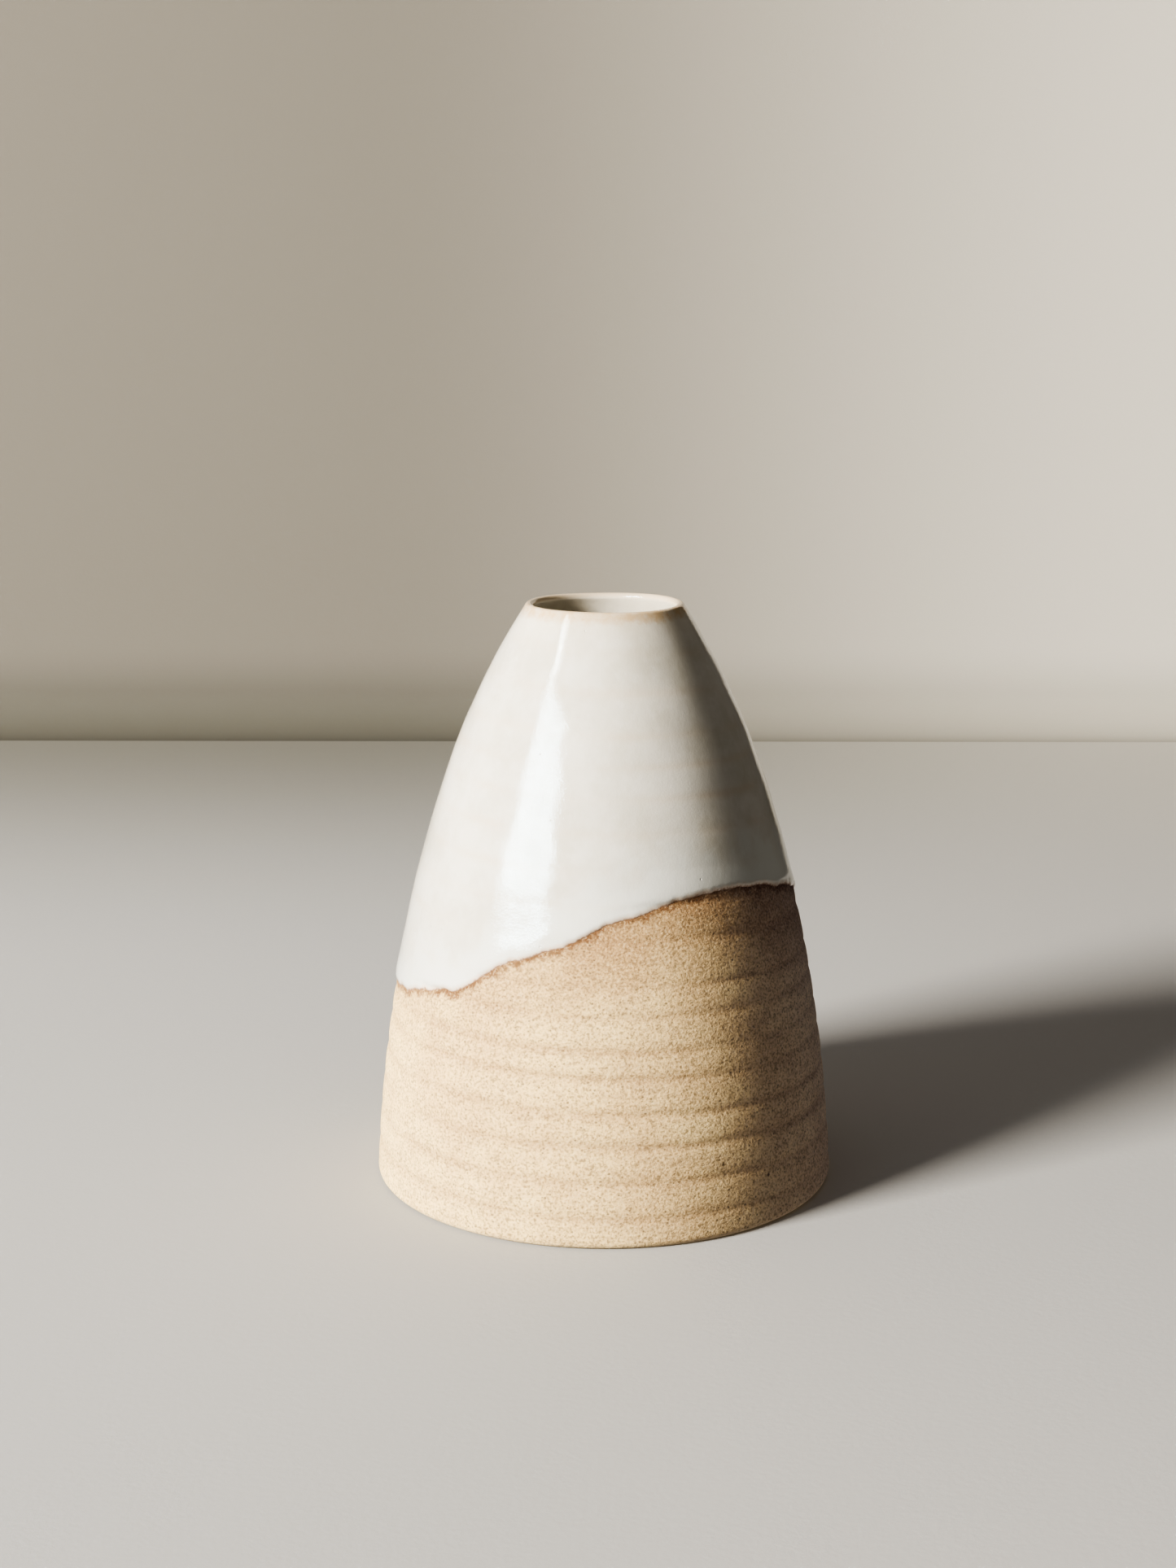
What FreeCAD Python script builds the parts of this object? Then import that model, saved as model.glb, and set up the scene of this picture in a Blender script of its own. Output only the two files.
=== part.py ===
import FreeCAD, Part
import math
import os
import Sketcher

# Stoneware bud vase: one thrown clay wall and floor, a dipped glaze coat outside and a poured
# liner glaze inside. Millimetres, +Z up. The origin is the centre of the foot, on the surface
# that the vase stands on. -Y is the front, where the glaze line climbs from left to right.

DIMENSIONS = [
    # alias, value, what it is
    ("height", 95.0, "standing surface to the top of the glazed lip"),
    ("glaze_thickness", 0.3, "both glaze coats"),
    ("base_radius", 37.85, "flank carried down to the standing surface"),
    ("belly_curve", 248.0, "radius of the long lower arc of the flank"),
    ("belly_drop", 10.4, "how far the lower arc's centre is below the standing surface"),
    ("shoulder_height", 63.5, "where the lower arc turns into the shoulder arc"),
    ("lip_radius", 12.16, "axis to the middle of the lip"),
    ("lip_round", 0.43, "rounding of the bare clay lip"),
    ("heel_round", 1.2, "rounding between the flank and the foot"),
    ("recess_radius", 29.0, "inner edge of the foot ring"),
    ("recess_depth", 1.0, "how far the underside is cut up inside the foot ring"),
    ("recess_run", 1.4, "width of the sloping step into the recess"),
    ("wall_thickness", 3.4, "clay wall, before it thins towards the lip"),
    ("floor_height", 6.0, "standing surface to the clay floor inside"),
    ("floor_corner", 8.0, "rounding between the floor and the wall inside"),
    ("coat_start", 28.0, "lower end of the outer coat before its edge is trimmed"),
    ("dip_low", 33.2, "height of the glaze line where it runs level"),
    ("dip_slope", 30.9, "climb of the glaze line seen from the side, degrees"),
    ("dip_bend", 67.0, "radius of the bend between level and climb"),
    ("crest_height", 53.3, "highest point of the glaze line"),
    ("crest_radius", 30.0, "axis to that highest point"),
    ("crest_turn", -49.0, "direction of that highest point, degrees from +X"),
]
VALUE = {alias: value for alias, value, _meaning in DIMENSIONS}

START = 1
END = 2
CENTRE = 3
AXIS = -2
ORIGIN = (-1, 1)
RIGHT_ANGLE = math.pi / 2


def fill_sheet(document):
    """The driving dimensions, one row each: meaning, value."""
    sheet = document.addObject("Spreadsheet::Sheet", "dims")
    for row, (alias, value, meaning) in enumerate(DIMENSIONS, start=1):
        sheet.set(f"A{row}", meaning)
        sheet.set(f"B{row}", str(value))
        sheet.setAlias(f"B{row}", alias)
    document.recompute()
    return sheet


def origin_feature(body, role):
    """One of a body's own origin planes or axes."""
    for feature in body.Origin.OriginFeatures:
        if feature.Role == role:
            return feature
    raise ValueError(f"{body.Label} has no {role}")


def on_circle(centre, radius, angle):
    """The point of a circle at an angle."""
    return FreeCAD.Vector(centre.x + radius * math.cos(angle), centre.y + radius * math.sin(angle), 0)


class Flank:
    """First positions of the flank's arcs, worked out from the driving dimensions.

    The lower arc passes base_radius at the foot. The shoulder arc starts on it at
    shoulder_height with the same tangent, and ends tangent to the lip's small circle.
    """

    def __init__(self):
        reach = math.sqrt(VALUE["belly_curve"] ** 2 - VALUE["belly_drop"] ** 2)
        lip_height = VALUE["height"] - VALUE["glaze_thickness"] - VALUE["lip_round"]
        self.belly_centre = FreeCAD.Vector(VALUE["base_radius"] - reach, -VALUE["belly_drop"], 0)
        self.belly_radius = VALUE["belly_curve"]
        self.lip_centre = FreeCAD.Vector(VALUE["lip_radius"], lip_height, 0)
        rise = VALUE["shoulder_height"] + VALUE["belly_drop"]
        self.turn = math.asin(rise / self.belly_radius)
        joint = on_circle(self.belly_centre, self.belly_radius, self.turn)
        normal = FreeCAD.Vector(math.cos(self.turn), math.sin(self.turn), 0)
        to_lip = self.lip_centre - joint
        lip_round = VALUE["lip_round"]
        self.shoulder_radius = (to_lip.Length ** 2 - lip_round ** 2) / (-2 * (to_lip.dot(normal) + lip_round))
        self.shoulder_centre = joint - normal * self.shoulder_radius
        self.to_lip = self.lip_centre - self.shoulder_centre
        self.lip_turn = math.atan2(self.to_lip.y, self.to_lip.x)

    def belly_angle(self, height):
        """Angle on the lower arc at a height."""
        return math.asin((height + VALUE["belly_drop"]) / self.belly_radius)

    def neck_turn(self):
        """Angle where the straight inner neck leaves the inner shoulder arc for the lip."""
        reach = self.shoulder_radius - VALUE["wall_thickness"] + VALUE["lip_round"]
        return self.lip_turn - math.acos(reach / self.to_lip.Length)


class Outline:
    """A half section, radius along the sketch's X and height along its Y."""

    def __init__(self, body, name):
        self.sketch = body.newObject("Sketcher::SketchObject", name)
        self.sketch.AttachmentSupport = [(origin_feature(body, "XZ_Plane"), "")]
        self.sketch.MapMode = "FlatFace"

    def line(self, start, end):
        first = FreeCAD.Vector(start[0], start[1], 0)
        last = FreeCAD.Vector(end[0], end[1], 0)
        return self.sketch.addGeometry(Part.LineSegment(first, last), False)

    def arc(self, centre, radius, first, last, construction=False):
        circle = Part.Circle(centre, FreeCAD.Vector(0, 0, 1), radius)
        return self.sketch.addGeometry(Part.ArcOfCircle(circle, first, last), construction)

    def rule(self, kind, *references):
        """A constraint that carries no size."""
        self.sketch.addConstraint(Sketcher.Constraint(kind, *references))

    def size(self, kind, *references, value, formula):
        """A constraint whose size is bound to the sheet."""
        index = self.sketch.addConstraint(Sketcher.Constraint(kind, *references, value))
        self.sketch.setExpression(f"Constraints[{index}]", formula)

    def place(self, geometry, end, across, up):
        """Radius and height of a point, each as (value, formula)."""
        self.size("DistanceX", *ORIGIN, geometry, end, value=across[0], formula=across[1])
        self.size("DistanceY", *ORIGIN, geometry, end, value=up[0], formula=up[1])

    def finish(self):
        """Every outline must be fully tied to the sheet."""
        self.sketch.Document.recompute()
        if self.sketch.solve() != 0 or not self.sketch.FullyConstrained:
            raise ValueError(f"{self.sketch.Label} isn't fully constrained")
        return self.sketch


def add_belly(outline, flank, thickness, formula, low, construction=False):
    """The long lower arc, offset outwards from the clay's outer face by thickness."""
    radius = flank.belly_radius + thickness
    arc = outline.arc(flank.belly_centre, radius, flank.belly_angle(low), flank.turn, construction)
    reach = "sqrt(dims.belly_curve ^ 2 - dims.belly_drop ^ 2)"
    outline.size("Radius", arc, value=radius, formula=f"dims.belly_curve + {formula}")
    outline.place(
        arc,
        CENTRE,
        (flank.belly_centre.x, f"dims.base_radius - {reach}"),
        (flank.belly_centre.y, "-dims.belly_drop"),
    )
    return arc


def end_belly(outline, flank, arc, thickness, formula):
    """Ends the lower arc on the normal where the shoulder arc takes over."""
    top = on_circle(flank.belly_centre, flank.belly_radius + thickness, flank.turn)
    rise = "(dims.shoulder_height + dims.belly_drop) / dims.belly_curve"
    outline.size(
        "DistanceY",
        *ORIGIN,
        arc,
        END,
        value=top.y,
        formula=f"(dims.belly_curve + {formula}) * {rise} - dims.belly_drop",
    )


def add_lip(outline, flank, thickness, formula, first, last, construction=False):
    """Part of the lip's round, offset from the clay's lip by thickness."""
    radius = VALUE["lip_round"] + thickness
    arc = outline.arc(flank.lip_centre, radius, first, last, construction)
    outline.size("Radius", arc, value=radius, formula=f"dims.lip_round + {formula}")
    outline.place(
        arc,
        CENTRE,
        (flank.lip_centre.x, "dims.lip_radius"),
        (flank.lip_centre.y, "dims.height - dims.glaze_thickness - dims.lip_round"),
    )
    return arc


def add_outer_face(outline, flank, thickness, formula, low, lip_end, construction=False):
    """Lower arc, shoulder arc and lip, in one tangent chain."""
    belly = add_belly(outline, flank, thickness, formula, low, construction)
    radius = flank.shoulder_radius + thickness
    shoulder = outline.arc(flank.shoulder_centre, radius, flank.turn, flank.lip_turn, construction)
    lip = add_lip(outline, flank, thickness, formula, flank.lip_turn, lip_end, construction)
    end_belly(outline, flank, belly, thickness, formula)
    outline.rule("Tangent", belly, END, shoulder, START)
    outline.rule("Tangent", shoulder, END, lip, START)
    return belly, shoulder, lip


def add_inner_face(outline, flank, outer_shoulder, lip, thickness, formula):
    """Floor, corner, wall and straight neck, inside the clay's outer face, up to the lip's end.

    thickness is how far this face stands inside the clay's own inner face: 0 for the clay.
    """
    inset = -VALUE["wall_thickness"] - thickness
    inset_formula = f"(-dims.wall_thickness - {formula})"
    neck_turn = flank.neck_turn()
    corner_radius = VALUE["floor_corner"] - thickness
    floor = VALUE["floor_height"] + thickness
    belly = add_belly(outline, flank, inset, inset_formula, VALUE["floor_height"] + VALUE["floor_corner"])
    shoulder = outline.arc(
        flank.shoulder_centre, flank.shoulder_radius + inset, flank.turn, neck_turn
    )
    wall = on_circle(flank.belly_centre, flank.belly_radius + inset, flank.belly_angle(floor + corner_radius))
    corner_centre = FreeCAD.Vector(wall.x - corner_radius, floor + corner_radius, 0)
    corner = outline.arc(corner_centre, corner_radius, -RIGHT_ANGLE, flank.belly_angle(floor + corner_radius))
    neck_low = on_circle(flank.shoulder_centre, flank.shoulder_radius + inset, neck_turn)
    neck_top = on_circle(flank.lip_centre, VALUE["lip_round"] + thickness, neck_turn + 2 * RIGHT_ANGLE)
    neck = outline.line((neck_low.x, neck_low.y), (neck_top.x, neck_top.y))
    bottom = outline.line((0, floor), (corner_centre.x, floor))
    outline.rule("Coincident", shoulder, CENTRE, outer_shoulder, CENTRE)
    outline.rule("Tangent", belly, END, shoulder, START)
    outline.rule("Tangent", shoulder, END, neck, START)
    outline.rule("Tangent", neck, END, lip, END)
    outline.rule("Tangent", bottom, END, corner, START)
    outline.rule("Tangent", corner, END, belly, START)
    outline.rule("PointOnObject", bottom, START, AXIS)
    outline.rule("Horizontal", bottom)
    outline.size("Radius", corner, value=corner_radius, formula=f"dims.floor_corner - {formula}")
    outline.size(
        "DistanceY", *ORIGIN, bottom, START, value=floor, formula=f"dims.floor_height + {formula}"
    )
    return bottom


def add_foot(outline, flank, belly):
    """Underside: the shallow recess, its sloping step, the foot ring and the rounded heel."""
    step_top = VALUE["recess_radius"] - VALUE["recess_run"]
    foot_edge = VALUE["base_radius"] - VALUE["heel_round"]
    heel_centre = FreeCAD.Vector(foot_edge, VALUE["heel_round"], 0)
    recess = outline.line((0, VALUE["recess_depth"]), (step_top, VALUE["recess_depth"]))
    step = outline.line((step_top, VALUE["recess_depth"]), (VALUE["recess_radius"], 0))
    foot = outline.line((VALUE["recess_radius"], 0), (foot_edge, 0))
    heel = outline.arc(heel_centre, VALUE["heel_round"], -RIGHT_ANGLE, flank.belly_angle(VALUE["heel_round"]))
    outline.rule("PointOnObject", recess, START, AXIS)
    outline.rule("Horizontal", recess)
    outline.rule("Coincident", recess, END, step, START)
    outline.rule("Coincident", step, END, foot, START)
    outline.rule("Horizontal", foot)
    outline.rule("Tangent", foot, END, heel, START)
    outline.rule("Tangent", heel, END, belly, START)
    outline.place(step, END, (VALUE["recess_radius"], "dims.recess_radius"), (0, "0 mm"))
    outline.place(
        step,
        START,
        (step_top, "dims.recess_radius - dims.recess_run"),
        (VALUE["recess_depth"], "dims.recess_depth"),
    )
    outline.size("Radius", heel, value=VALUE["heel_round"], formula="dims.heel_round")
    return recess


def revolve(body, sketch, name):
    """A full turn about the vase's axis."""
    feature = body.newObject("PartDesign::Revolution", name)
    feature.Profile = sketch
    feature.ReferenceAxis = (sketch, ["V_Axis"])
    feature.Angle = 360
    sketch.Visibility = False
    body.Tip = feature
    return feature


def make_clay_body(document, flank):
    """The thrown wall and floor, one solid."""
    body = document.addObject("PartDesign::Body", "clay_body")
    outline = Outline(body, "clay_section")
    lip_end = flank.neck_turn() + 2 * RIGHT_ANGLE
    belly, shoulder, lip = add_outer_face(outline, flank, 0, "0", VALUE["heel_round"], lip_end)
    floor = add_inner_face(outline, flank, shoulder, lip, 0, "0")
    recess = add_foot(outline, flank, belly)
    middle = outline.line((0, VALUE["recess_depth"]), (0, VALUE["floor_height"]))
    outline.rule("Coincident", middle, START, recess, START)
    outline.rule("Coincident", middle, END, floor, START)
    revolve(body, outline.finish(), "clay_turn")
    return body


def dip_line(outline):
    """Area below the glaze line, seen square to the direction of its highest point.

    The line runs level, bends, and climbs straight through the crest. The area is closed
    well outside and below the coat.
    """
    slope = math.radians(VALUE["dip_slope"])
    reach = VALUE["base_radius"] * 1.2
    bend = VALUE["dip_bend"]
    level = VALUE["dip_low"]
    corner_x = VALUE["crest_radius"] - (VALUE["crest_height"] - level) / math.tan(slope)
    bend_start = corner_x - bend * math.tan(slope / 2)
    bend_end = bend_start + bend * math.sin(slope)
    bend_top = level + bend * (1 - math.cos(slope))
    climb_top = VALUE["crest_height"] + (reach - VALUE["crest_radius"]) * math.tan(slope)
    low_run = outline.line((-reach, level), (bend_start, level))
    centre = FreeCAD.Vector(bend_start, level + bend, 0)
    curve = outline.arc(centre, bend, -RIGHT_ANGLE, slope - RIGHT_ANGLE)
    climb = outline.line((bend_end, bend_top), (reach, climb_top))
    right = outline.line((reach, climb_top), (reach, 0))
    under = outline.line((reach, 0), (-reach, 0))
    left = outline.line((-reach, 0), (-reach, level))
    crest = outline.sketch.addGeometry(
        Part.Point(FreeCAD.Vector(VALUE["crest_radius"], VALUE["crest_height"], 0)), True
    )
    outline.rule("Horizontal", low_run)
    outline.rule("Tangent", low_run, END, curve, START)
    outline.rule("Tangent", curve, END, climb, START)
    outline.rule("Coincident", climb, END, right, START)
    outline.rule("Coincident", right, END, under, START)
    outline.rule("Coincident", under, END, left, START)
    outline.rule("Coincident", left, END, low_run, START)
    outline.rule("Vertical", right)
    outline.rule("Horizontal", under)
    outline.rule("Vertical", left)
    outline.rule("PointOnObject", crest, START, climb)
    outline.place(
        crest,
        START,
        (VALUE["crest_radius"], "dims.crest_radius"),
        (VALUE["crest_height"], "dims.crest_height"),
    )
    outline.place(
        under, START, (reach, "dims.base_radius * 1.2"), (0, "0 mm")
    )
    outline.size(
        "DistanceX", left, START, *ORIGIN, value=reach, formula="dims.base_radius * 1.2"
    )
    outline.size("DistanceY", *ORIGIN, left, END, value=level, formula="dims.dip_low")
    outline.size("Radius", curve, value=bend, formula="dims.dip_bend")
    outline.size("Angle", climb, value=slope, formula="dims.dip_slope * 1 deg")


def make_outer_glaze(document, flank):
    """The dipped coat: a shell on the clay's outer face, trimmed along the glaze line."""
    body = document.addObject("PartDesign::Body", "outer_glaze")
    body.setExpression("Placement.Rotation.Angle", "dims.crest_turn * 1 deg")
    outline = Outline(body, "coat_section")
    coat = VALUE["glaze_thickness"]
    low = VALUE["coat_start"]
    clay_side, _shoulder, clay_lip = add_outer_face(outline, flank, 0, "0", low, RIGHT_ANGLE)
    air_side, _shoulder, air_lip = add_outer_face(
        outline, flank, coat, "dims.glaze_thickness", low, RIGHT_ANGLE
    )
    lower_edge = outline.line(
        tuple(on_circle(flank.belly_centre, flank.belly_radius, flank.belly_angle(low)))[:2],
        tuple(on_circle(flank.belly_centre, flank.belly_radius + coat, flank.belly_angle(low)))[:2],
    )
    top_edge = outline.line(
        tuple(on_circle(flank.lip_centre, VALUE["lip_round"], RIGHT_ANGLE))[:2],
        tuple(on_circle(flank.lip_centre, VALUE["lip_round"] + coat, RIGHT_ANGLE))[:2],
    )
    outline.rule("Coincident", lower_edge, START, clay_side, START)
    outline.rule("Coincident", lower_edge, END, air_side, START)
    outline.rule("Horizontal", lower_edge)
    outline.rule("Coincident", top_edge, START, clay_lip, END)
    outline.rule("Coincident", top_edge, END, air_lip, END)
    outline.rule("Vertical", top_edge)
    outline.size("DistanceX", *ORIGIN, top_edge, START, value=VALUE["lip_radius"], formula="dims.lip_radius")
    outline.size("DistanceY", *ORIGIN, lower_edge, START, value=low, formula="dims.coat_start")
    coat_turn = revolve(body, outline.finish(), "coat_turn")
    document.recompute()
    whole = coat_turn.Shape.Volume
    trim = Outline(body, "glaze_line")
    dip_line(trim)
    pocket = body.newObject("PartDesign::Pocket", "bare_clay")
    pocket.Profile = trim.finish()
    pocket.SideType = "Symmetric"
    pocket.Type = "Length"
    pocket.setExpression("Length", "dims.base_radius * 3")
    trim.sketch.Visibility = False
    body.Tip = pocket
    document.recompute()
    if not 0.5 * whole < pocket.Shape.Volume < 0.9 * whole:
        raise ValueError("the glaze line doesn't trim the coat")
    return body


def make_liner_glaze(document, flank):
    """The poured coat on the inside, from the floor to the top of the lip."""
    body = document.addObject("PartDesign::Body", "liner_glaze")
    outline = Outline(body, "liner_section")
    coat = VALUE["glaze_thickness"]
    lip_end = flank.neck_turn() + 2 * RIGHT_ANGLE
    low = VALUE["coat_start"]
    guide, shoulder, guide_lip = add_outer_face(
        outline, flank, 0, "0", low, RIGHT_ANGLE, construction=True
    )
    clay_lip = add_lip(outline, flank, 0, "0", RIGHT_ANGLE, lip_end)
    air_lip = add_lip(outline, flank, coat, "dims.glaze_thickness", RIGHT_ANGLE, lip_end)
    clay_floor = add_inner_face(outline, flank, shoulder, clay_lip, 0, "0")
    air_floor = add_inner_face(outline, flank, shoulder, air_lip, coat, "dims.glaze_thickness")
    floor = VALUE["floor_height"]
    middle = outline.line((0, floor), (0, floor + coat))
    top_edge = outline.line(
        tuple(on_circle(flank.lip_centre, VALUE["lip_round"], RIGHT_ANGLE))[:2],
        tuple(on_circle(flank.lip_centre, VALUE["lip_round"] + coat, RIGHT_ANGLE))[:2],
    )
    outline.size("DistanceY", *ORIGIN, guide, START, value=low, formula="dims.coat_start")
    outline.rule("Vertical", guide_lip, END, clay_lip, START)
    outline.rule("Coincident", middle, START, clay_floor, START)
    outline.rule("Coincident", middle, END, air_floor, START)
    outline.rule("Coincident", top_edge, START, clay_lip, START)
    outline.rule("Coincident", top_edge, END, air_lip, START)
    outline.rule("Vertical", top_edge)
    outline.size("DistanceX", *ORIGIN, top_edge, START, value=VALUE["lip_radius"], formula="dims.lip_radius")
    revolve(body, outline.finish(), "liner_turn")
    return body


def check(document, bodies):
    """Stops if anything failed to build."""
    document.recompute()
    for item in document.Objects:
        if "Invalid" in item.State or "Error" in item.State:
            raise ValueError(f"{item.Label} failed: {item.State}")
    for body in bodies:
        if body.Shape.isNull() or not body.Shape.isValid():
            raise ValueError(f"{body.Label} has no valid shape")
        if len(body.Shape.Solids) != 1:
            raise ValueError(f"{body.Label} isn't one solid")


def main():
    os.makedirs("parts", exist_ok=True)
    document = FreeCAD.newDocument("bud_vase")
    fill_sheet(document)
    flank = Flank()
    bodies = [
        make_clay_body(document, flank),
        make_outer_glaze(document, flank),
        make_liner_glaze(document, flank),
    ]
    check(document, bodies)
    for body in bodies:
        body.Shape.exportStep(f"parts/{body.Label}.step")
        print(f"{body.Label}: {body.Shape.Volume:.1f} mm3")


main()
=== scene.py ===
import math

import bpy
import numpy as np
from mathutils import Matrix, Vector
from mathutils.bvhtree import BVHTree


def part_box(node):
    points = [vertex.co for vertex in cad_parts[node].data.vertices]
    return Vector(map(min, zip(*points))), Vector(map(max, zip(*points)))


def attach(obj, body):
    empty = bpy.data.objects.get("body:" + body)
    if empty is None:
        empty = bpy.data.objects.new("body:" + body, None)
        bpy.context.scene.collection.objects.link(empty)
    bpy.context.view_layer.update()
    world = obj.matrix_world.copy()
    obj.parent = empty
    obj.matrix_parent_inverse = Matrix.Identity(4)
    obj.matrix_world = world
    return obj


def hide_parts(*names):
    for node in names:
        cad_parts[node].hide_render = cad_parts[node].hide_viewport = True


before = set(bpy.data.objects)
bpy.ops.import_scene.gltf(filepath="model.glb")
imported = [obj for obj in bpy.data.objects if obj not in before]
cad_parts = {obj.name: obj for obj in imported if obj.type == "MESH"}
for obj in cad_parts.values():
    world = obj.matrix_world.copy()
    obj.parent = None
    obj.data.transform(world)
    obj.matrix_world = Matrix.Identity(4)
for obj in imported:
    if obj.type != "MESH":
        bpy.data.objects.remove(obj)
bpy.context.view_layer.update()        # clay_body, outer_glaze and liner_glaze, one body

MM = 0.001

# Angles round the vase are in degrees from the front (-Y), positive towards +X.
# Heights are above the standing surface. Lengths named here are in millimetres.

# Throwing rings: one spiral groove. These are its heights on each turn, at RING_ANGLE.
RING_HEIGHTS = (-1.0, 4.8, 10.3, 15.9, 20.9, 26.6, 30.6, 36.0, 40.2, 47.2, 52.4, 57.6, 63.0, 68.2,
                72.8, 77.3, 83.6, 89.4, 95.0)
RING_ANGLE = -7.0
RING_ROLL = 0.12      # depth of the soft roll between two grooves
RING_CUT = 0.10       # extra depth of the narrow groove itself
RING_CUT_WIDTH = 0.55
RING_UNDER_GLAZE = 0.10   # share of the relief that still shows on the glaze

# Glaze line, seen square to its highest point: level, then a bend, then a straight climb.
LINE_TURN = 41.0
LINE_LOW = 33.2
LINE_SLOPE = 30.9
LINE_BEND = 67.0
LINE_CREST_HEIGHT = 53.3
LINE_CREST_RADIUS = 30.0
# Where the dipped edge runs a little higher or lower: angle, rise, width in degrees.
LINE_RUNS = (
    (-58, 0.25, 7), (-43, -0.75, 6), (-29, 0.75, 5), (-11, -0.55, 5), (2, 0.25, 4),
    (25, 0.35, 9), (39, 0.25, 8), (66, -0.4, 9), (105, 0.5, 12), (150, -0.35, 10), (-110, 0.4, 11),
)

GLAZE_THICK = 0.30
GLAZE_EDGE = 1.1      # width of the rounded lower edge
GLAZE_ROLL = 0.08     # extra thickness where the glaze pooled along its line
GLAZE_BITE = 0.06     # how far the shells' hidden faces go into the clay

# Points round each piece.
CLAY_COLUMNS = 336
OUTER_COLUMNS = 480
LINER_COLUMNS = 360


# ---------------------------------------------------------------- shape of the vase

def tree_of(node):
    """Search tree of a CAD node's surface."""
    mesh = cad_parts[node].data
    corners = [v.co.copy() for v in mesh.vertices]
    faces = [tuple(p.vertices) for p in mesh.polygons]
    return BVHTree.FromPolygons(corners, faces)


def measured_profile(node, low, high, outside, degree):
    """Radius of a CAD node's wall as a smooth function of height, both in metres."""
    tree = tree_of(node)
    heights = np.linspace(low, high, 60)
    radii = []
    for height in heights:
        start = Vector((0.1, 0, height)) if outside else Vector((0, 0, height))
        way = Vector((-1, 0, 0)) if outside else Vector((1, 0, 0))
        hit = tree.ray_cast(start, way)[0]
        radii.append(hit.x)
    return np.poly1d(np.polyfit(heights, radii, degree))


glaze_low, glaze_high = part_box("outer_glaze")

lip_points = np.array([v.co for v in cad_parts["outer_glaze"].data.vertices])
lip_top = glaze_high.z
LIP_RADIUS = float(np.hypot(*lip_points[lip_points[:, 2] > lip_top - 0.002 * MM][:, :2].T).min())
mouth_points = np.array([v.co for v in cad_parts["liner_glaze"].data.vertices])
mouth_points = mouth_points[mouth_points[:, 2] > lip_top - 2 * MM]
MOUTH_RADIUS = float(np.hypot(mouth_points[:, 0], mouth_points[:, 1]).min())
LIP_ROUND = LIP_RADIUS - MOUTH_RADIUS
LIP_HEIGHT = lip_top - LIP_ROUND

flank = measured_profile("clay_body", 2 * MM, 94 * MM, True, 7)
flank_slope = flank.deriv()
inner_wall = measured_profile("liner_glaze", 15 * MM, 94 * MM, False, 8)
CLAY_FLOOR = 6.0 * MM
FLOOR_TOP = GLAZE_THICK * MM + CLAY_FLOOR
FLOOR_CORNER = 7.7 * MM      # the clay's own rounding of 8 mm, less the glaze
HEEL_ROUND = 1.2 * MM
RECESS_RADIUS = 29.0 * MM
RECESS_DEPTH = 1.0 * MM
RECESS_RUN = 1.4 * MM


def waves(angle, height, seed, count, turns, tallest):
    """Smooth noise that closes round the vase, about -1 to 1.

    turns is the lowest and highest number of waves round the vase, and tallest the shortest
    wave up it, in millimetres.
    """
    draw = np.random.default_rng(seed)
    total = np.zeros(np.broadcast(angle, height).shape)
    for _ in range(count):
        around = draw.integers(turns[0], turns[1] + 1) * draw.choice((-1, 1))
        upward = draw.uniform(-1, 1) * 2 * math.pi / (tallest * MM)
        total = total + np.cos(around * angle + upward * height + draw.uniform(0, 2 * math.pi))
    return total / math.sqrt(count)


def bell(distance, width):
    return np.exp(-(distance / width) ** 2)


def smooth_step(value, low, high):
    share = np.clip((value - low) / (high - low), 0, 1)
    return share * share * (3 - 2 * share)


ring_grid = np.linspace(RING_HEIGHTS[0], RING_HEIGHTS[-1], 1200)
ring_turns = np.interp(ring_grid, RING_HEIGHTS, np.arange(len(RING_HEIGHTS)))
ring_kernel = np.hanning(31) / np.hanning(31).sum()
ring_turns = np.convolve(np.pad(ring_turns, 15, mode="edge"), ring_kernel, "valid")


def ring_relief(angle, height):
    """Depth of the throwing rings, 0 on the rolls and negative in the grooves, in metres,
    and how deep in a groove a point is, 0 to 1."""
    turn = np.interp(height / MM, ring_grid, ring_turns)
    turn = turn + (angle - math.radians(RING_ANGLE)) / (2 * math.pi)
    turn = turn + 0.035 * waves(angle, height, 11, 9, (1, 5), 30)
    phase = turn - np.floor(turn)
    gap = np.minimum(phase, 1 - phase)
    skewed = phase + 0.09 * np.sin(2 * math.pi * phase)
    roll = 0.5 * (1 + np.cos(2 * math.pi * skewed))
    cut = bell(gap * 5.3, RING_CUT_WIDTH)
    strength = np.clip(0.85 + 0.35 * waves(angle, height, 12, 12, (1, 4), 22), 0.2, 1.5)
    relief = -(RING_ROLL * roll + RING_CUT * cut) * strength * MM
    return relief, np.clip((0.45 * roll + 0.75 * cut) * strength, 0, 1)


def glaze_line(angle):
    """Height of the glaze's lower edge round the vase, in metres."""
    slope = math.radians(LINE_SLOPE)
    corner = LINE_CREST_RADIUS - (LINE_CREST_HEIGHT - LINE_LOW) / math.tan(slope)
    bend_start = corner - LINE_BEND * math.tan(slope / 2)
    bend_end = bend_start + LINE_BEND * math.sin(slope)
    height = np.full_like(angle, 40.0)
    for _ in range(12):
        across = flank(height * MM) / MM * np.cos(angle - math.radians(LINE_TURN))
        bent = np.clip(across - bend_start, 0, bend_end - bend_start)
        height = LINE_LOW + LINE_BEND - np.sqrt(LINE_BEND ** 2 - bent ** 2)
        height = height + np.maximum(across - bend_end, 0) * math.tan(slope)
    degrees = np.degrees(angle)
    for where, rise, width in LINE_RUNS:
        away = (degrees - where + 180) % 360 - 180
        height = height + rise * bell(away, width)
    height = height + 0.10 * waves(angle, np.zeros_like(angle), 21, 12, (18, 50), 50)
    height = height + 0.06 * waves(angle, np.zeros_like(angle), 22, 14, (50, 120), 50)
    return height * MM


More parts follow.
